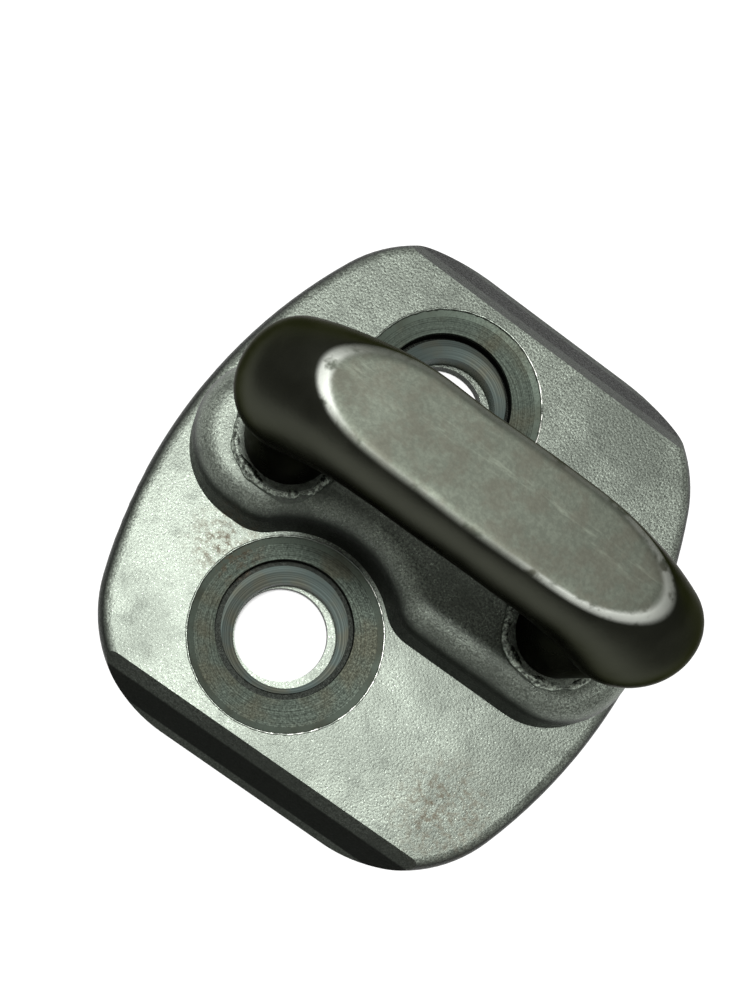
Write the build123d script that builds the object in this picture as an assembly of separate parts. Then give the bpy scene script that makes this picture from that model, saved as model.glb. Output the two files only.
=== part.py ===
from build123d import *
from math import hypot, radians, tan
import os

# Two-hole pad eye: a forged plate with a raised pedestal, a riveted bar loop and a ring
# insert in each screw hole. Millimetres. +X runs from one leg of the loop to the other,
# +Y runs from one screw hole to the other and +Z points out of the plate.
# The origin is the middle of the plate's back face.

# ---------------------------------------------------------------- driving dimensions
# Plate
plate_length = 56.8  # along Y, between the two straight ends
plate_width = 51.8  # along X, across the two bowed sides
plate_thickness = 3.0
side_bow_radius = 53.0
side_bow_offset = -1.5  # of the bowed sides' widest place, along Y
corner_radius = 14.0
end_bevel_width = 4.0
end_land = 0.5  # upright edge left below each end bevel
rim_round = 1.6  # rounding of the plate's upper edge

# Pedestal under the loop
pedestal_height = 4.6  # above the plate's upper face
pedestal_side_wall = 3.7  # metal beside a leg, along Y, at the pedestal's base
pedestal_end_wall = 5.4  # metal past a leg, along X, at the pedestal's base
pedestal_draft = 10.0  # degrees
pedestal_round = 2.8
relief_gap = 0.45  # flat strip left between a screw seat and the pedestal
relief_blend = 4.5  # rounding where that strip's cut leaves the pedestal's side

# Loop
leg_spacing = 29.8
leg_diameter = 8.2
crown_swell = 0.65  # how far the crown stands out past the legs all round
crown_axis_height = 21.0
crown_flat_depth = 1.55  # pressed off the top of the crown
knob_overhang = 0.3  # how far the round ends of the crown stand outside the legs' axes
crown_straight = 11.0  # level middle stretch of the crown
crown_bend_radius = 19.0  # of the crown's axis, from the level stretch to the shoulder
shoulder_rise = 1.2  # of the legs' shoulders above the plate's upper face
shoulder_width = 0.9  # step from the leg to the tenon that goes through the plate
head_flare = 1.3  # how far a peened head spreads past its tenon
head_recess = 0.1  # the peened heads lie this far inside the back face
collar_width = 0.9
collar_rise = 0.5  # of the collars above the pedestal

# Screw holes
hole_spacing = 27.6
hole_offset = -5.15  # of the line of holes, along X
seat_diameter = 19.0
seat_edge_width = 0.6  # steeper edge inside the seat's rim
seat_edge_depth = 0.3
seat_depth = 0.7  # of the dished seat, at the insert
hole_diameter = 10.2
insert_dish = 0.2  # fall of the insert's upper face towards its bore
through_diameter = 9.3  # of the plate's own hole, below the insert
through_shift_x = -0.4
insert_wall = 1.1
insert_thickness = 1.5
insert_shift_x = -0.4  # the inserts are pressed in slightly off the seats' axes
insert_shift_y = 0.45
groove_width = 0.6
groove_depth = 0.8

# ---------------------------------------------------------------- worked out from them
half_length = plate_length / 2
half_width = plate_width / 2
leg_x = leg_spacing / 2
leg_radius = leg_diameter / 2
crown_radius = leg_radius + crown_swell
crown_flat_height = crown_axis_height + crown_radius - crown_flat_depth
pedestal_top = plate_thickness + pedestal_height
pedestal_width = leg_diameter + 2 * pedestal_side_wall
pedestal_length = leg_spacing + leg_diameter + 2 * pedestal_end_wall
shoulder_height = plate_thickness + shoulder_rise
tenon_radius = leg_radius - shoulder_width
head_radius = tenon_radius + head_flare
seat_radius = seat_diameter / 2
relief_radius = seat_radius + relief_gap
hole_radius = hole_diameter / 2
through_radius = through_diameter / 2
insert_radius = hole_radius + insert_wall
seat_floor = plate_thickness - seat_depth
insert_base = seat_floor - insert_thickness
hole_places = {"upper": hole_spacing / 2, "lower": -hole_spacing / 2}
cut_room = 5.0  # how far a cutting tool runs past the metal
same_place = 0.01  # positions closer than this are the same
wall_share = 0.95  # a rounding takes at most this share of the wall it lies on

os.makedirs("parts", exist_ok=True)


def upright_cylinder(x, y, radius, low, high):
    """A cylinder along Z between two heights."""
    return Pos(x, y, (low + high) / 2) * Cylinder(radius, high - low)


def upright_cone(x, y, low_radius, high_radius, low, high):
    """A cone's frustum along Z between two heights."""
    return Pos(x, y, (low + high) / 2) * Cone(low_radius, high_radius, high - low)


def plate_outline():
    """The plate seen from above: straight ends, bowed sides and large round corners."""
    bow_centre = side_bow_radius - half_width
    outline = Rectangle(plate_width, plate_length)
    outline &= Pos(bow_centre, side_bow_offset) * Circle(side_bow_radius)
    outline &= Pos(-bow_centre, side_bow_offset) * Circle(side_bow_radius)
    return fillet(outline.vertices(), corner_radius)


def end_bevel_tool():
    """The wedge that a bevel takes off the +Y end."""
    inner = half_length - end_bevel_width
    slope = (plate_thickness - end_land) / end_bevel_width
    outside = half_length + cut_room
    corners = [
        (inner, plate_thickness),
        (outside, plate_thickness - slope * (outside - inner)),
        (outside, plate_thickness + cut_room),
        (inner, plate_thickness + cut_room),
    ]
    wedge = Plane.YZ * make_face(Polyline(*corners, close=True))
    return extrude(wedge, half_width + cut_room, both=True)


def pedestal():
    """The raised boss: a long round-ended outline, relieved round both screw seats."""
    outline = SlotOverall(pedestal_length, pedestal_width)
    for hole_y in hole_places.values():
        outline -= Pos(hole_offset, hole_y) * Circle(relief_radius)
    relief_corners = []
    for corner in outline.vertices():
        nearest_hole_y = hole_spacing / 2 if corner.Y > 0 else -hole_spacing / 2
        from_hole = hypot(corner.X - hole_offset, corner.Y - nearest_hole_y)
        if abs(from_hole - relief_radius) < same_place:
            relief_corners.append(corner)
    straight_reach = (pedestal_length - pedestal_width) / 2 - abs(hole_offset)
    side_gap = (hole_spacing - pedestal_width) / 2
    reach_excess = straight_reach**2 + side_gap**2 - relief_radius**2
    longest_blend = reach_excess / 2 / (relief_radius - side_gap)
    blend = min(relief_blend, wall_share * longest_blend)
    base = Pos(0, 0, plate_thickness) * fillet(relief_corners, blend).face()
    boss = extrude(base, pedestal_height, taper=pedestal_draft)
    top_edges = boss.faces().sort_by(Axis.Z)[-1].edges()
    half_waist = hole_spacing / 2 - relief_radius - pedestal_height * tan(radians(pedestal_draft))
    return fillet(top_edges, min(pedestal_round, wall_share * half_waist))


def base_plate():
    """The forged plate with its pedestal, screw seats, insert bores and leg holes."""
    plate = extrude(plate_outline(), plate_thickness)
    upper_edges = plate.faces().sort_by(Axis.Z)[-1].edges()
    plate = fillet(upper_edges, rim_round)
    bevel = end_bevel_tool()
    plate -= bevel
    plate -= mirror(bevel, Plane.XZ)
    plate += pedestal()
    for side in (-1, 1):
        collar_radius = leg_radius + collar_width
        collar_top = pedestal_top + collar_rise
        plate += upright_cone(
            side * leg_x, 0, collar_radius + collar_rise, collar_radius - collar_rise / 2,
            pedestal_top - collar_rise, collar_top,
        )
        plate -= upright_cylinder(side * leg_x, 0, leg_radius, shoulder_height, collar_top + cut_room)
        plate -= upright_cylinder(side * leg_x, 0, tenon_radius, -cut_room, shoulder_height)
        plate -= head_cone(side * leg_x)
    for hole_y in hole_places.values():
        insert_x = hole_offset + insert_shift_x
        insert_y = hole_y + insert_shift_y
        edge_radius = seat_radius - seat_edge_width
        edge_height = plate_thickness - seat_edge_depth
        plate -= upright_cone(
            hole_offset, hole_y, edge_radius, seat_radius, edge_height, plate_thickness
        )
        plate -= upright_cone(
            hole_offset, hole_y, insert_radius, edge_radius, seat_floor, edge_height
        )
        plate -= upright_cylinder(
            insert_x, insert_y, insert_radius + groove_width, seat_floor - groove_depth, edge_height
        )
        plate -= upright_cylinder(insert_x, insert_y, insert_radius, insert_base, edge_height)
        plate -= upright_cylinder(
            hole_offset + through_shift_x, hole_y, through_radius, -cut_room, insert_base
        )
    return plate


def head_cone(x):
    """The countersink that a peened head fills, from the tenon out to the back face."""
    return upright_cone(x, 0, head_radius, tenon_radius, 0, head_flare)


def loop_axis():
    """Half of the crown's axis, from the middle of the crown to the shoulder above a leg."""
    level_end = crown_straight / 2
    sweep_x = leg_x + knob_overhang - level_end
    drop = crown_bend_radius - (crown_bend_radius**2 - sweep_x**2) ** 0.5
    level = Line((0, 0, crown_axis_height), (level_end, 0, crown_axis_height))
    shoulder = (leg_x + knob_overhang, 0, crown_axis_height - drop)
    bend = TangentArc([(level_end, 0, crown_axis_height), shoulder], tangent=(1, 0, 0))
    return level, bend, shoulder


def loop():
    """The round bar loop: a thicker crown, pressed flat on top, on two riveted legs."""
    level, bend, shoulder = loop_axis()
    path = Wire([level, bend])
    section = Plane.YZ * Pos(0, crown_axis_height) * Circle(crown_radius)
    half = sweep(section, path=path)
    half += Pos(*shoulder) * Sphere(crown_radius)
    half += upright_cylinder(leg_x, 0, leg_radius, shoulder_height, shoulder[2])
    half += upright_cylinder(leg_x, 0, tenon_radius, head_recess, shoulder_height)
    half += head_cone(leg_x) - upright_cylinder(leg_x, 0, head_radius, -cut_room, head_recess)
    whole = half + mirror(half, Plane.YZ)
    above = crown_flat_height + cut_room
    whole -= Pos(0, 0, above) * Box(plate_width, plate_width, 2 * cut_room)
    return whole


def hole_insert(hole_y):
    """The dished ring in a screw hole: off centre outside, with its bore on the seat's axis."""
    ring = upright_cylinder(
        hole_offset + insert_shift_x, hole_y + insert_shift_y, insert_radius, insert_base, seat_floor
    )
    ring -= upright_cylinder(hole_offset, hole_y, hole_radius, insert_base, seat_floor)
    ring -= upright_cone(
        hole_offset, hole_y, hole_radius, insert_radius, seat_floor - insert_dish, seat_floor
    )
    return ring


export_step(base_plate(), "parts/base_plate.step")
export_step(loop(), "parts/loop.step")
for place, hole_y in hole_places.items():
    export_step(hole_insert(hole_y), f"parts/{place}_insert.step")
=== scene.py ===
"""Looks of a two-hole pad eye: forged plate, riveted bar loop and a ring insert in each screw hole.

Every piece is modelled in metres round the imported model. +X runs from one leg of the loop to the
other, +Y from one screw hole to the other and +Z out of the plate.
"""

import math

import bmesh
import bpy
from mathutils import Matrix, Vector, noise


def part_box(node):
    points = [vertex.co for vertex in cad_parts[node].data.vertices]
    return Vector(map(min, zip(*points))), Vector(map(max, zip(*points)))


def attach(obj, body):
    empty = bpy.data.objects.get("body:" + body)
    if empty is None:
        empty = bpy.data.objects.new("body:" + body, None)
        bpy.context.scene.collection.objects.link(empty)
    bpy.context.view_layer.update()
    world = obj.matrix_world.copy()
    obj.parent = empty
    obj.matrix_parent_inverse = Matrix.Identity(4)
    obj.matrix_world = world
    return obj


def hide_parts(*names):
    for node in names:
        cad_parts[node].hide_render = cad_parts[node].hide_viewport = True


bl_info = {
    "name": "Riveted pad eye",
    "version": (1, 0, 0),
    "blender": (4, 5, 0),
    "location": "View3D > Sidebar > Pad eye",
    "description": "Builds a plate pad eye with a riveted bar loop and worn steel finishes",
    "category": "Object",
}

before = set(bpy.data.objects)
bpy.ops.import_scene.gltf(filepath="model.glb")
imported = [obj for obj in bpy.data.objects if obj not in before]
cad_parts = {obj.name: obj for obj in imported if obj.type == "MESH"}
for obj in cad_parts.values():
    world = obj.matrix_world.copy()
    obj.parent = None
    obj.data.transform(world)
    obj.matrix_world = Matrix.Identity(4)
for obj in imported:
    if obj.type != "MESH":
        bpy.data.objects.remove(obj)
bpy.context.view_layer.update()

MM = 0.001
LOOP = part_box("loop")
CROWN_TOP = LOOP[1].z
CROWN_RADIUS = LOOP[1].y
KNOB_X = LOOP[1].x - CROWN_RADIUS

ROUND_SEGMENTS = 128
SETTINGS = "pad_eye"

# Colour of the painted highlight along the edge of the crown's flat.
EDGE_HIGHLIGHT = (0.75, 0.78, 0.72)
RAW_BURR = (0.85, 0.87, 0.8)
FLAT_SMUDGE = (0.15, 0.14, 0.11)
GRAZING_TINT = (0.33, 0.33, 0.31, 1.0)

FLOOR_SIZE = 1.5
FLOOR_DROP = 0.02 * MM  # keeps the floor out of the plate's own back face
FLOOR_GLOW = 0.3
SURROUNDINGS_COLOUR = (1.0, 1.0, 0.96, 1.0)
SURROUNDINGS_STRENGTH = 0.22
KEY_LIGHT_PLACE = (-0.06, 0.03, 0.60)
KEY_LIGHT_SIZE = 0.12
KEY_LIGHT_POWER = 2.8
CAMERA_PLACE = (-6.23 * MM, -22.22 * MM, 66.0 * MM)
CAMERA_TURNS = (("Z", 35.05), ("X", 0.92), ("Y", -3.76))
CAMERA_LENS = 23.84
CAMERA_SENSOR = 36.0
CAMERA_SHIFT = (0.105, 0.19)


class PadEyeSettings(bpy.types.PropertyGroup):
    """Sizes and colours of the pad eye that a user would change."""

    leg_radius: bpy.props.FloatProperty(
        name="Leg radius", description="Radius of the loop's two legs",
        default=4.1 * MM, unit="LENGTH",
    )
    tenon_radius: bpy.props.FloatProperty(
        name="Tenon radius", description="Radius of the leg where it goes through the plate",
        default=3.2 * MM, unit="LENGTH",
    )
    head_radius: bpy.props.FloatProperty(
        name="Rivet head radius", description="Radius of the peened head at the back face",
        default=4.5 * MM, unit="LENGTH",
    )
    head_recess: bpy.props.FloatProperty(
        name="Rivet head recess", description="How far the peened heads lie inside the back face",
        default=0.1 * MM, unit="LENGTH",
    )
    crown_axis_height: bpy.props.FloatProperty(
        name="Crown height", description="Height of the crown's axis above the back face",
        default=21.0 * MM, unit="LENGTH",
    )
    crown_level: bpy.props.FloatProperty(
        name="Crown level half", description="Half the level stretch of the crown's axis",
        default=5.5 * MM, unit="LENGTH",
    )
    crown_bend_radius: bpy.props.FloatProperty(
        name="Crown bend radius",
        description="Radius of the crown's axis outside its level stretch",
        default=19.0 * MM, unit="LENGTH",
    )
    knob_overhang: bpy.props.FloatProperty(
        name="Knob overhang", description="How far the crown's round ends stand outside the legs",
        default=0.3 * MM, unit="LENGTH",
    )
    shoulder_height: bpy.props.FloatProperty(
        name="Shoulder height", description="Height of the legs' shoulders above the back face",
        default=4.2 * MM, unit="LENGTH",
    )
    pedestal_top: bpy.props.FloatProperty(
        name="Pedestal top", description="Height of the pedestal's top above the back face",
        default=7.6 * MM, unit="LENGTH",
    )
    droop_start: bpy.props.FloatProperty(
        name="Droop start",
        description="Distance from the middle where the left end starts to droop",
        default=8.0 * MM, unit="LENGTH",
    )
    droop_rate: bpy.props.FloatProperty(
        name="Droop rate", description="Droop of the left end per square of the distance, in 1/m",
        default=8.0,
    )
    lean_slope: bpy.props.FloatProperty(
        name="Lean", description="Sideways lean of the loop as a share of its height",
        default=0.03,
    )
    plate_top: bpy.props.FloatProperty(
        name="Plate top", description="Height of the plate's flat face above the back face",
        default=3.0 * MM, unit="LENGTH",
    )
    collar_radius: bpy.props.FloatProperty(
        name="Collar radius", description="Radius of the ridge of metal pressed up round a leg",
        default=4.75 * MM, unit="LENGTH",
    )
    hole_offset: bpy.props.FloatProperty(
        name="Hole offset", description="Place of the line of screw holes along X",
        default=-5.15 * MM, unit="LENGTH",
    )
    hole_spacing: bpy.props.FloatProperty(
        name="Hole spacing", description="Distance between the two screw holes",
        default=27.6 * MM, unit="LENGTH",
    )
    seat_radius: bpy.props.FloatProperty(
        name="Seat radius", description="Radius of the machined seat round each screw hole",
        default=9.5 * MM, unit="LENGTH",
    )
    plate_colour: bpy.props.FloatVectorProperty(
        name="Plate colour", description="Zinc grey of the plate", subtype="COLOR", size=3,
        default=(0.42, 0.47, 0.405), min=0.0, max=1.0,
    )
    loop_colour: bpy.props.FloatVectorProperty(
        name="Loop colour", description="Dark worn steel of the loop", subtype="COLOR", size=3,
        default=(0.058, 0.061, 0.047), min=0.0, max=1.0,
    )
    flat_colour: bpy.props.FloatVectorProperty(
        name="Flat colour", description="Rubbed steel of the flat on the crown", subtype="COLOR",
        size=3, default=(0.185, 0.205, 0.165), min=0.0, max=1.0,
    )
    insert_colour: bpy.props.FloatVectorProperty(
        name="Insert colour", description="Turned steel of the ring inserts", subtype="COLOR",
        size=3, default=(0.060, 0.076, 0.070), min=0.0, max=1.0,
    )
    seat_colour: bpy.props.FloatVectorProperty(
        name="Seat colour", description="Turned steel of the screw seats", subtype="COLOR", size=3,
        default=(0.072, 0.088, 0.072), min=0.0, max=1.0,
    )
    stain_colour: bpy.props.FloatVectorProperty(
        name="Stain colour", description="Brown-green stain on the screw seats", subtype="COLOR",
        size=3, default=(0.075, 0.065, 0.04), min=0.0, max=1.0,
    )
    rust_colour: bpy.props.FloatVectorProperty(
        name="Rust colour", description="Rust specks", subtype="COLOR", size=3,
        default=(0.24, 0.15, 0.085), min=0.0, max=1.0,
    )
    floor_colour: bpy.props.FloatVectorProperty(
        name="Floor colour", description="Plain pale floor", subtype="COLOR", size=3,
        default=(0.92, 0.92, 0.92), min=0.0, max=1.0,
    )


def settings():
    return getattr(bpy.context.scene, SETTINGS)


def leg_x():
    return KNOB_X - settings().knob_overhang


# ---------------------------------------------------------------- shaping


def verts_of(geometry):
    return [item for item in geometry if isinstance(item, bmesh.types.BMVert)]


def edges_of(geometry):
    return [item for item in geometry if isinstance(item, bmesh.types.BMEdge)]


def lathe(bm, centre, profile, segments=ROUND_SEGMENTS):
    """Turns a profile of (radius, height) points round the upright axis through a centre."""
    points = [bm.verts.new((centre[0] + radius, centre[1], height)) for radius, height in profile]
    lines = [bm.edges.new(pair) for pair in zip(points, points[1:])]
    bmesh.ops.spin(
        bm, geom=points + lines, cent=(centre[0], centre[1], 0), axis=(0, 0, 1), dvec=(0, 0, 0),
        angle=math.tau, steps=segments, use_merge=True, use_duplicate=False,
    )
    bmesh.ops.remove_doubles(bm, verts=bm.verts, dist=0.0005 * MM)


def uneven(bm, size, depth, seed):
    """Moves every point a little along its normal, as hand forging leaves a surface."""
    bm.normal_update()
    shift = Vector((seed, -seed, 2 * seed))
    for vert in bm.verts:
        swell = noise.noise(vert.co / size + shift)
        vert.co += vert.normal * swell * depth


def finish_mesh(bm, name, sharp_degrees=32):
    """Turns a bmesh into an object whose faces point outwards, smooth between its sharp edges."""
    bmesh.ops.recalc_face_normals(bm, faces=bm.faces)
    for face in bm.faces:
        face.smooth = True
    mesh = bpy.data.meshes.new(name)
    bm.to_mesh(mesh)
    bm.free()
    mesh.set_sharp_from_angle(angle=math.radians(sharp_degrees))
    piece = bpy.data.objects.new(name, mesh)
    bpy.context.scene.collection.objects.link(piece)
    return piece


def place_piece(piece, material, slot, *nodes):
    piece.data.materials.append(material)
    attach(piece, "root")
    if nodes:
        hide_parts(*nodes)


# ---------------------------------------------------------------- materials


class Shader:
    """A material's node tree, with short calls that add a node and join it up."""

    def __init__(self, name):
        self.material = bpy.data.materials.new(name)
        self.material.use_nodes = True
        self.tree = self.material.node_tree
        self.surface = self.tree.nodes["Principled BSDF"]
        coordinates = self.add("ShaderNodeTexCoord")
        self.place = coordinates.outputs["Object"]
        self.facing = coordinates.outputs["Normal"]

    def add(self, kind, **values):
        node = self.tree.nodes.new(kind)
        for key, value in values.items():
            setattr(node, key, value)
        return node

    def feed(self, socket, value):
        if isinstance(value, bpy.types.NodeSocket):
            self.tree.links.new(value, socket)
        else:
            socket.default_value = value

    def noise(self, size, detail=2.0, roughness=0.5, place=None):
        """Noise whose lumps are about this size in metres, from 0 to 1."""
        node = self.add("ShaderNodeTexNoise")
        self.feed(node.inputs["Vector"], place or self.place)
        node.inputs["Scale"].default_value = 1 / size
        node.inputs["Detail"].default_value = detail
        node.inputs["Roughness"].default_value = roughness
        return node.outputs["Fac"]

    def cells(self, size):
        """Distance to the nearest of scattered points about this far apart."""
        node = self.add("ShaderNodeTexVoronoi")
        self.feed(node.inputs["Vector"], self.place)
        node.inputs["Scale"].default_value = 1 / size
        return node.outputs["Distance"]

    def ramp(self, value, low, high, out_low=0.0, out_high=1.0):
        """Goes smoothly from one number to another as a value goes from low to high."""
        node = self.add("ShaderNodeMapRange", interpolation_type="SMOOTHSTEP")
        for key, number in (
            ("Value", value), ("From Min", low), ("From Max", high),
            ("To Min", out_low), ("To Max", out_high),
        ):
            self.feed(node.inputs[key], number)
        return node.outputs["Result"]

    def math(self, operation, first, second=0.0, clamp=False):
        node = self.add("ShaderNodeMath", operation=operation, use_clamp=clamp)
        self.feed(node.inputs[0], first)
        self.feed(node.inputs[1], second)
        return node.outputs[0]

    def mix(self, share, first, second):
        node = self.add("ShaderNodeMix", data_type="RGBA")
        self.feed(node.inputs["Factor"], share)
        self.feed(node.inputs["A"], first)
        self.feed(node.inputs["B"], second)
        return node.outputs["Result"]

    def split(self, vector):
        node = self.add("ShaderNodeSeparateXYZ")
        self.feed(node.inputs[0], vector)
        return node.outputs

    def radius_from(self, x, y):
        """Distance of a point from the upright axis through (x, y)."""
        node = self.add("ShaderNodeMapping")
        self.feed(node.inputs["Vector"], self.place)
        node.inputs["Location"].default_value = (-x, -y, 0)
        node.inputs["Scale"].default_value = (1, 1, 0)
        length = self.add("ShaderNodeVectorMath", operation="LENGTH")
        self.feed(length.inputs[0], node.outputs["Vector"])
        return length.outputs["Value"]

    def slope(self, steep, level):
        """0 where the surface is steep, 1 where it is level, by the upright part of its normal."""
        facing = self.split(self.facing)[2]
        return self.ramp(facing, steep, level)

    def spot(self, x, y, z, radius):
        """A soft round patch: 1 at its middle, 0 at its radius."""
        node = self.add("ShaderNodeVectorMath", operation="DISTANCE")
        self.feed(node.inputs[0], self.place)
        node.inputs[1].default_value = (x, y, z)
        return self.ramp(node.outputs["Value"], 0.0, radius, 1.0, 0.0)

    def stretched(self, x, y, z):
        """The place on the piece, scaled along each axis."""
        node = self.add("ShaderNodeMapping")
        self.feed(node.inputs["Vector"], self.place)
        node.inputs["Scale"].default_value = (x, y, z)
        return node.outputs["Vector"]

    def bump(self, height, depth, strength=1.0, normal=None):
        """Tilts the normals as a relief of this depth in metres would."""
        node = self.add("ShaderNodeBump")
        node.inputs["Strength"].default_value = strength
        node.inputs["Distance"].default_value = depth
        self.feed(node.inputs["Height"], height)
        if normal is not None:
            self.feed(node.inputs["Normal"], normal)
        return node.outputs["Normal"]

    def steel(self, colour, roughness, normal=None):
        self.surface.inputs["Metallic"].default_value = 1.0
        self.feed(self.surface.inputs["Base Color"], colour)
        self.feed(self.surface.inputs["Roughness"], roughness)
        if normal is not None:
            self.feed(self.surface.inputs["Normal"], normal)
        return self.material


def shade(colour, share=1.0):
    """A colour of the settings as RGBA, made lighter or darker."""
    return (*(min(1.0, channel * share) for channel in colour), 1.0)


def seat_mask(shader, side):
    """1 on the machined seat round one screw hole, 0 outside it."""
    sizes = settings()
    radius = shader.radius_from(sizes.hole_offset, side * sizes.hole_spacing / 2)
    rim_wobble = shader.ramp(shader.noise(1.5 * MM), 0.0, 1.0, -0.12 * MM, 0.12 * MM)
    radius = shader.math("ADD", radius, rim_wobble)
    low, high = sizes.seat_radius - 0.05 * MM, sizes.seat_radius + 0.05 * MM
    return shader.ramp(radius, low, high, 1.0, 0.0)


def tool_lines(shader, side, pitch):
    """Fine concentric lines left by turning, round one screw hole."""
    sizes = settings()
    radius = shader.radius_from(sizes.hole_offset, side * sizes.hole_spacing / 2)
    lines = shader.add("ShaderNodeTexNoise", noise_dimensions="1D")
    shader.feed(lines.inputs["W"], shader.math("DIVIDE", radius, pitch))
    lines.inputs["Scale"].default_value = 1.0
    lines.inputs["Detail"].default_value = 3.0
    return lines.outputs["Fac"]


def seat_tone(shader):
    """Dark turned steel with lighter tool lines and brown-green stains."""
    colour = settings().seat_colour
    upper = shader.math("GREATER_THAN", shader.split(shader.place)[1], 0.0)
    lines = shader.mix(upper, tool_lines(shader, -1, 0.14 * MM), tool_lines(shader, 1, 0.14 * MM))
    tone = shader.mix(shader.ramp(lines, 0.35, 0.7), shade(colour, 0.75), shade(colour, 1.35))
    tone = shader.mix(shader.slope(0.90, 0.96), shade(colour, 2.2), tone)
    stain = shader.ramp(shader.noise(3.5 * MM, detail=2.0), 0.45, 0.7, 0.0, 0.45)
    return shader.mix(stain, tone, shade(settings().stain_colour))


def plate_finish():
    """Zinc grey with fine speckle, painted shade on steep walls and in the grooves, darker on the
    seats.
    """
    shader = Shader("plate_zinc")
    colour = settings().plate_colour
    grain = shader.noise(0.2 * MM, detail=4.0, roughness=0.8)
    pits = shader.cells(0.28 * MM)
    clouds = shader.noise(7 * MM, detail=3.0)
    speckle = shader.ramp(grain, 0.42, 0.60)
    tone = shader.mix(speckle, shade(colour, 0.5), shade(colour, 1.2))
    sparkle = shader.ramp(shader.noise(0.15 * MM, detail=2.0), 0.58, 0.72)
    tone = shader.mix(sparkle, tone, shade(colour, 1.9))
    tone = shader.mix(shader.ramp(clouds, 0.38, 0.65, 0.0, 0.6), tone, shade(colour, 0.45))
    smudges = shader.noise(2.2 * MM, detail=5.0, roughness=0.7)
    tone = shader.mix(shader.ramp(smudges, 0.5, 0.72, 0.0, 0.6), tone, shade(colour, 0.4))
    z = shader.split(shader.place)[2]
    on_pedestal = shader.ramp(z, settings().plate_top + 0.5 * MM, settings().plate_top + 1.5 * MM)
    # Painted shade: steep walls and bevels go almost black by the slope of their normal, with a
    # gentler slope range on the pedestal; the scuffs added to it are real wear.
    rubbed = shader.mix(on_pedestal, shader.slope(0.80, 0.985), shader.slope(0.35, 0.92))
    scuffs = shader.ramp(shader.noise(0.5 * MM, detail=4.0, roughness=0.7), 0.55, 0.75, 0.0, 0.12)
    rubbed = shader.math("ADD", rubbed, scuffs, clamp=True)
    tone = shader.mix(rubbed, shade(colour, 0.08), tone)
    # Painted shade in the groove, from 1 to 2.1 mm up, darkened almost to black.
    groove_shade = shader.math("MULTIPLY", shader.ramp(z, 0.9 * MM, 1.0 * MM),
                            shader.ramp(z, 2.1 * MM, 2.25 * MM, 1.0, 0.0))
    tone = shader.mix(groove_shade, tone, shade(colour, 0.05))
    seat = shader.math("MAXIMUM", seat_mask(shader, 1), seat_mask(shader, -1))
    seat = shader.math("MULTIPLY", seat, shader.ramp(z, 2.1 * MM, 2.25 * MM))
    tone = shader.mix(seat, tone, seat_tone(shader))
    rust = shader.math("MAXIMUM", shader.spot(17 * MM, -19 * MM, 3 * MM, 7 * MM),
                       shader.spot(-15 * MM, -10 * MM, 3 * MM, 5 * MM))
    rust_grain = shader.noise(0.7 * MM, detail=4.0, roughness=0.7)
    rust = shader.math("MULTIPLY", rust, shader.ramp(rust_grain, 0.42, 0.72))
    tone = shader.mix(shader.math("MULTIPLY", rust, 0.6), tone, shade(settings().rust_colour))
    rough = shader.ramp(grain, 0.3, 0.7, 0.34, 0.6)
    rough = shader.math("ADD", rough, shader.math("MULTIPLY", rust, 0.3))
    rough = shader.math("ADD", rough, shader.math("MULTIPLY", seat, 0.14))
    level = shader.math("SUBTRACT", 1.0, seat)
    relief = shader.bump(shader.math("MULTIPLY", level, shader.ramp(pits, 0.0, 0.7)), 0.02 * MM, 0.6)
    relief = shader.bump(shader.math("MULTIPLY", level, grain), 0.045 * MM, 0.7, relief)
    relief = shader.bump(clouds, 0.2 * MM, 0.5, relief)
    return shader.steel(tone, rough, relief)


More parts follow.
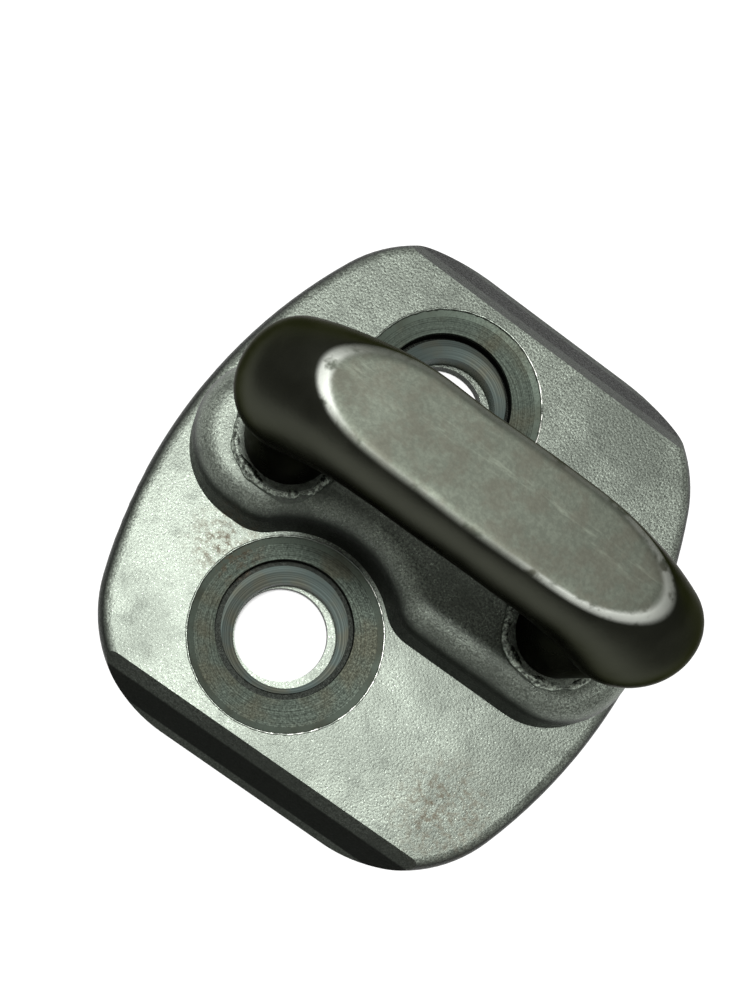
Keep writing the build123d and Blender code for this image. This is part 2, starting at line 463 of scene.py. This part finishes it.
def loop_finish():
    """Dark smooth steel with painted shade on faces that turn sideways and down, rubbed lighter on
    the flat of the crown, with a painted highlight along the flat's edge.
    """
    shader = Shader("loop_steel_wear_and_painted_light")
    grain = shader.noise(0.3 * MM, detail=3.0, roughness=0.6)
    clouds = shader.noise(4 * MM, detail=3.0)
    loop_colour = settings().loop_colour
    flat_colour = settings().flat_colour
    y, z = shader.split(shader.place)[1:3]
    on_flat = shader.ramp(z, CROWN_TOP - 0.35 * MM, CROWN_TOP - 0.08 * MM)
    tone = shader.mix(shader.ramp(clouds, 0.3, 0.7), shade(loop_colour, 0.75), shade(loop_colour))
    # Painted shade: faces that turn sideways and down are darkened to a third.
    tone = shader.mix(shader.slope(-0.3, 0.5), shade(loop_colour, 0.3), tone)
    flat_tone = shader.mix(shader.ramp(grain, 0.35, 0.7), shade(flat_colour, 0.8), shade(flat_colour))
    lengthwise = shader.stretched(0.16, 1.0, 1.0)
    streaks = shader.noise(0.7 * MM, detail=4.0, roughness=0.65, place=lengthwise)
    from_middle = shader.math("ABSOLUTE", shader.math("SUBTRACT", y, 0.3 * MM))
    on_streak = shader.math("MULTIPLY", shader.ramp(streaks, 0.5, 0.68, 0.0, 0.7),
                            shader.ramp(from_middle, 0.2 * MM, 1.1 * MM, 1.0, 0.1))
    flat_tone = shader.mix(on_streak, flat_tone, shade(flat_colour, 1.6))
    mottle = shader.ramp(shader.noise(2.0 * MM, detail=4.0, roughness=0.65), 0.42, 0.62, 0.0, 0.45)
    flat_tone = shader.mix(mottle, flat_tone, shade(FLAT_SMUDGE))
    tone = shader.mix(on_flat, tone, flat_tone)
    # Painted highlight along the flat's rounded edge, strongest at its left end and lower right,
    # broken up by noise.
    edge = shader.math("MULTIPLY", shader.ramp(z, CROWN_TOP - 0.34 * MM, CROWN_TOP - 0.16 * MM),
                       shader.ramp(z, CROWN_TOP - 0.08 * MM, CROWN_TOP - 0.01 * MM, 1.0, 0.0))
    left_highlight = shader.spot(-13.5 * MM, -1.8 * MM, CROWN_TOP, 4.5 * MM)
    right_highlight = shader.spot(11 * MM, -3.5 * MM, CROWN_TOP, 9 * MM)
    highlight_reach = shader.math("ADD", shader.math("MAXIMUM", left_highlight, right_highlight), 0.15)
    highlight_reach = shader.math("MULTIPLY", highlight_reach, shader.ramp(shader.noise(1.2 * MM, detail=3.0), 0.3, 0.5))
    edge = shader.math("MULTIPLY", edge, highlight_reach, clamp=True)
    tone = shader.mix(edge, tone, shade(EDGE_HIGHLIGHT))
    rough = shader.ramp(on_flat, 0.0, 1.0, 0.36, 0.56)
    rough = shader.math("ADD", rough, shader.ramp(clouds, 0.3, 0.7, -0.05, 0.05))
    relief = shader.bump(grain, 0.012 * MM, 0.6)
    relief = shader.bump(clouds, 0.05 * MM, 0.5, relief)
    shader.surface.inputs["Specular Tint"].default_value = GRAZING_TINT
    return shader.steel(tone, rough, relief)


def turned_finish(name, colour, side):
    """Turned steel with fine concentric tool lines round one screw hole."""
    shader = Shader(name)
    line = tool_lines(shader, side, 0.16 * MM)
    clouds = shader.noise(3 * MM, detail=3.0)
    tone = shader.mix(shader.ramp(line, 0.3, 0.7), shade(colour, 0.85), shade(colour, 1.12))
    tone = shader.mix(shader.ramp(clouds, 0.4, 0.7, 0.0, 0.5), tone, shade(settings().stain_colour))
    rough = shader.ramp(line, 0.3, 0.7, 0.48, 0.62)
    return shader.steel(tone, rough, shader.bump(line, 0.02 * MM, 0.6))


def burr_finish():
    """Bright raw burr along part of a seat's rim, dark elsewhere."""
    shader = Shader("burr_bright")
    x = shader.split(shader.place)[0]
    hole_x = settings().hole_offset
    arc = shader.ramp(x, hole_x + 1 * MM, hole_x + 7 * MM)
    arc = shader.math("MULTIPLY", arc, shader.ramp(shader.noise(0.9 * MM, detail=3.0), 0.42, 0.56))
    tone = shader.mix(arc, shade(settings().plate_colour, 0.55), shade(RAW_BURR))
    grain = shader.noise(0.15 * MM, detail=3.0)
    return shader.steel(tone, shader.ramp(grain, 0.3, 0.7, 0.3, 0.5), shader.bump(grain, 0.02 * MM))


def collar_finish():
    """Bright ragged metal pressed up round the legs, with painted shade where it turns sideways and
    down.
    """
    shader = Shader("collar_bright")
    grain = shader.noise(0.35 * MM, detail=4.0, roughness=0.7)
    tone = shader.mix(shader.ramp(grain, 0.42, 0.62), shade(settings().plate_colour, 0.3),
                      shade(settings().plate_colour, 1.7))
    # Painted shade where the ridge turns sideways and down.
    tone = shader.mix(shader.slope(0.0, 0.6), shade(settings().plate_colour, 0.3), tone)
    return shader.steel(tone, shader.ramp(grain, 0.3, 0.7, 0.3, 0.5), shader.bump(grain, 0.05 * MM))


# ---------------------------------------------------------------- pieces


def knob(bm, rim, centre, direction, radius, steps=16):
    """Closes an open round end with half a ball."""
    last_turn = 0.0
    for step in range(1, steps + 1):
        turn = math.radians(89) * step / steps
        pulled = bmesh.ops.extrude_edge_only(bm, edges=rim)["geom"]
        ring = verts_of(pulled)
        rim = edges_of(pulled)
        middle = centre + direction * radius * math.sin(last_turn)
        shrink = math.cos(turn) / math.cos(last_turn)
        bmesh.ops.scale(bm, vec=(shrink,) * 3, space=Matrix.Translation(-middle), verts=ring)
        rise = radius * (math.sin(turn) - math.sin(last_turn))
        bmesh.ops.translate(bm, vec=direction * rise, verts=ring)
        last_turn = turn
    bmesh.ops.pointmerge(bm, verts=ring, merge_co=centre + direction * radius)


def press_flat(bm, height, softness):
    """Presses the top of the crown down to a flat with a rubbed, rounded edge."""
    for vert in bm.verts:
        gap = height - vert.co.z
        share = min(1.0, max(0.0, 0.5 + 0.5 * gap / softness))
        rounding = softness * share * (1 - share)
        vert.co.z = height * (1 - share) + vert.co.z * share - rounding


def droop(bm):
    """Bends the left end of the crown down a little more than the right."""
    sizes = settings()
    for vert in bm.verts:
        past = max(0.0, -vert.co.x - sizes.droop_start)
        vert.co.z -= sizes.droop_rate * past**2


def lean(bm):
    """Leans the loop towards -Y above the pedestal, as hand riveting leaves it."""
    sizes = settings()
    for vert in bm.verts:
        vert.co.y -= sizes.lean_slope * max(0.0, vert.co.z - sizes.pedestal_top)


def crown_mesh(bm):
    """The crown: a round bar, level in the middle, bent down to a knob over each leg."""
    sizes = settings()
    axis_middle = Vector((0, 0, sizes.crown_axis_height))
    upright = Matrix.Translation(axis_middle) @ Matrix.Rotation(math.pi / 2, 4, "Y")
    bmesh.ops.create_circle(bm, segments=ROUND_SEGMENTS, radius=CROWN_RADIUS, matrix=upright)
    rim = bm.edges[:]
    level_steps = 18
    for _ in range(level_steps):
        pulled = bmesh.ops.extrude_edge_only(bm, edges=rim)["geom"]
        rim = edges_of(pulled)
        bmesh.ops.translate(bm, vec=(sizes.crown_level / level_steps, 0, 0), verts=verts_of(pulled))
    bend_angle = math.asin((KNOB_X - sizes.crown_level) / sizes.crown_bend_radius)
    bend_centre = Vector((sizes.crown_level, 0, sizes.crown_axis_height - sizes.crown_bend_radius))
    bent = bmesh.ops.spin(
        bm, geom=rim, cent=bend_centre, axis=(0, 1, 0), dvec=(0, 0, 0),
        angle=bend_angle, steps=32, use_merge=False, use_duplicate=False,
    )["geom_last"]
    outward = Vector((math.cos(bend_angle), 0, -math.sin(bend_angle)))
    upward = Vector((math.sin(bend_angle), 0, math.cos(bend_angle)))
    shoulder = bend_centre + upward * sizes.crown_bend_radius
    knob(bm, edges_of(bent), shoulder, outward, CROWN_RADIUS)
    half = bm.verts[:] + bm.edges[:] + bm.faces[:]
    bmesh.ops.mirror(bm, geom=half, axis="X", merge_dist=0.001 * MM)
    bmesh.ops.recalc_face_normals(bm, faces=bm.faces)


def leg_profile():
    """Outline of a leg from the middle of the knob down to the peened head, as radius and height."""
    sizes = settings()
    top = sizes.crown_axis_height - 3 * MM
    head_flare = sizes.head_radius - sizes.tenon_radius
    profile = [(0.0, top), (sizes.leg_radius, top)]
    leg_steps = 40
    for step in range(1, leg_steps + 1):
        height = top + (sizes.shoulder_height - top) * step / leg_steps
        profile.append((sizes.leg_radius, height))
    profile += [
        (sizes.tenon_radius, sizes.shoulder_height),
        (sizes.tenon_radius, head_flare),
        (sizes.head_radius - sizes.head_recess, sizes.head_recess),
        (0.0, sizes.head_recess),
    ]
    return profile


def build_loop():
    """The bar loop: an uneven crown pressed flat on top, and two legs riveted through the plate."""
    bm = bmesh.new()
    crown_mesh(bm)
    uneven(bm, 6 * MM, 0.12 * MM, seed=3.0)
    droop(bm)
    press_flat(bm, CROWN_TOP, 0.5 * MM)
    for side in (-1, 1):
        lathe(bm, (side * leg_x(), 0), leg_profile(), segments=96)
    lean(bm)
    piece = finish_mesh(bm, "loop_bar")
    place_piece(piece, loop_finish(), "loop_steel", "loop")


def build_collars():
    """The ridge of metal pressed up round each leg's foot."""
    sizes = settings()
    material = collar_finish()
    for name, side in (("collar_left", -1), ("collar_right", 1)):
        ridge(name, (side * leg_x(), 0), sizes.collar_radius, sizes.pedestal_top + 0.05 * MM,
              0.5 * MM, 0.3 * MM, side, material)


def ridge(name, centre, radius, height, thickness, roughness, seed, material):
    """A thin uneven ring of metal lying round an upright axis."""
    bm = bmesh.new()
    section = Matrix.Translation((centre[0] + radius, centre[1], height))
    section @= Matrix.Rotation(math.pi / 2, 4, "X")
    bmesh.ops.create_circle(bm, segments=16, radius=thickness, matrix=section)
    bmesh.ops.spin(
        bm, geom=bm.verts[:] + bm.edges[:], cent=(*centre, 0), axis=(0, 0, 1),
        dvec=(0, 0, 0), angle=math.tau, steps=200, use_merge=True, use_duplicate=False,
    )
    bmesh.ops.remove_doubles(bm, verts=bm.verts, dist=0.001 * MM)
    bmesh.ops.recalc_face_normals(bm, faces=bm.faces)
    uneven(bm, 3 * thickness, roughness, seed)
    place_piece(finish_mesh(bm, name), material, "plate_steel")


def build_burrs():
    """The thin burr along the rim of each screw seat."""
    sizes = settings()
    material = burr_finish()
    for name, side in (("upper_burr", 1), ("lower_burr", -1)):
        centre = (sizes.hole_offset, side * sizes.hole_spacing / 2)
        ridge(name, centre, sizes.seat_radius, sizes.plate_top, 0.11 * MM, 0.09 * MM, side, material)


def finish_inserts():
    """Gives each ring insert tool lines round its own screw hole."""
    sizes = settings()
    for node, side in (("upper_insert", 1), ("lower_insert", -1)):
        material = turned_finish(f"{node}_turned", sizes.insert_colour, side)
        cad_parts[node].data.materials.clear()
        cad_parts[node].data.materials.append(material)


def finish_plate():
    """Gives the plate its zinc finish."""
    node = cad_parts["base_plate"]
    node.data.materials.clear()
    node.data.materials.append(plate_finish())


# ---------------------------------------------------------------- stage


def build_stage():
    """Pale floor, a soft light almost straight above and the camera."""
    bm = bmesh.new()
    bmesh.ops.create_grid(bm, x_segments=1, y_segments=1, size=FLOOR_SIZE)
    floor = finish_mesh(bm, "floor")
    floor_shader = Shader("floor_pale")
    floor_shader.surface.inputs["Base Color"].default_value = shade(settings().floor_colour)
    floor_shader.surface.inputs["Roughness"].default_value = 0.9
    floor_shader.surface.inputs["Specular IOR Level"].default_value = 0.0
    floor_shader.surface.inputs["Emission Color"].default_value = (1.0, 1.0, 1.0, 1.0)
    floor_shader.surface.inputs["Emission Strength"].default_value = FLOOR_GLOW
    floor.location.z = -FLOOR_DROP
    floor.data.materials.append(floor_shader.material)

    world = bpy.data.worlds.new("studio")
    world.use_nodes = True
    background = world.node_tree.nodes["Background"]
    background.inputs["Color"].default_value = SURROUNDINGS_COLOUR
    background.inputs["Strength"].default_value = SURROUNDINGS_STRENGTH
    bpy.context.scene.world = world

    add_light("key_light", KEY_LIGHT_PLACE, KEY_LIGHT_SIZE, KEY_LIGHT_POWER)

    camera = bpy.data.objects.new("camera", bpy.data.cameras.new("camera"))
    camera.data.lens = CAMERA_LENS
    camera.data.sensor_width = CAMERA_SENSOR
    camera.data.shift_x, camera.data.shift_y = CAMERA_SHIFT
    camera.data.clip_start = 1 * MM
    pose = Matrix.Translation(CAMERA_PLACE)
    for axis, degrees in CAMERA_TURNS:
        pose @= Matrix.Rotation(math.radians(degrees), 4, axis)
    camera.matrix_world = pose
    bpy.context.scene.collection.objects.link(camera)
    bpy.context.scene.camera = camera
    bpy.context.scene.view_settings.view_transform = "Standard"


def add_light(name, place, size, power):
    """A soft square lamp aimed at the middle of the plate."""
    lamp = bpy.data.lights.new(name, "AREA")
    lamp.size = size
    lamp.energy = power
    light = bpy.data.objects.new(name, lamp)
    light.location = place
    light.rotation_euler = Vector(place).to_track_quat("Z", "Y").to_euler()
    bpy.context.scene.collection.objects.link(light)


# ---------------------------------------------------------------- operators


class BuildLoop(bpy.types.Operator):
    """Builds the riveted bar loop"""

    bl_idname = "pad_eye.build_loop"
    bl_label = "Bar loop"

    def execute(self, context):
        build_loop()
        return {"FINISHED"}


class BuildPlate(bpy.types.Operator):
    """Gives the plate its finish and adds the collars and the burrs"""

    bl_idname = "pad_eye.build_plate"
    bl_label = "Plate"

    def execute(self, context):
        finish_plate()
        build_collars()
        build_burrs()
        return {"FINISHED"}


class BuildInserts(bpy.types.Operator):
    """Gives the ring insert in each screw hole its turned finish"""

    bl_idname = "pad_eye.build_inserts"
    bl_label = "Ring inserts"

    def execute(self, context):
        finish_inserts()
        return {"FINISHED"}


class BuildStage(bpy.types.Operator):
    """Adds the floor, the light and the camera"""

    bl_idname = "pad_eye.build_stage"
    bl_label = "Stage"

    def execute(self, context):
        build_stage()
        return {"FINISHED"}


class PadEyePanel(bpy.types.Panel):
    """Lists the pad eye's operators and settings"""

    bl_idname = "VIEW3D_PT_pad_eye"
    bl_label = "Pad eye"
    bl_space_type = "VIEW_3D"
    bl_region_type = "UI"
    bl_category = "Pad eye"

    def draw(self, context):
        for operator in OPERATORS:
            self.layout.operator(operator.bl_idname)
        for key in PadEyeSettings.__annotations__:
            self.layout.prop(settings(), key)


OPERATORS = (BuildPlate, BuildLoop, BuildInserts, BuildStage)
CLASSES = (PadEyeSettings, *OPERATORS, PadEyePanel)


def register():
    for item in CLASSES:
        bpy.utils.register_class(item)
    setattr(bpy.types.Scene, SETTINGS, bpy.props.PointerProperty(type=PadEyeSettings))


def unregister():
    delattr(bpy.types.Scene, SETTINGS)
    for item in reversed(CLASSES):
        bpy.utils.unregister_class(item)


def main():
    register()
    bpy.ops.pad_eye.build_plate()
    bpy.ops.pad_eye.build_loop()
    bpy.ops.pad_eye.build_inserts()
    bpy.ops.pad_eye.build_stage()


if __name__ == "__main__":
    main()
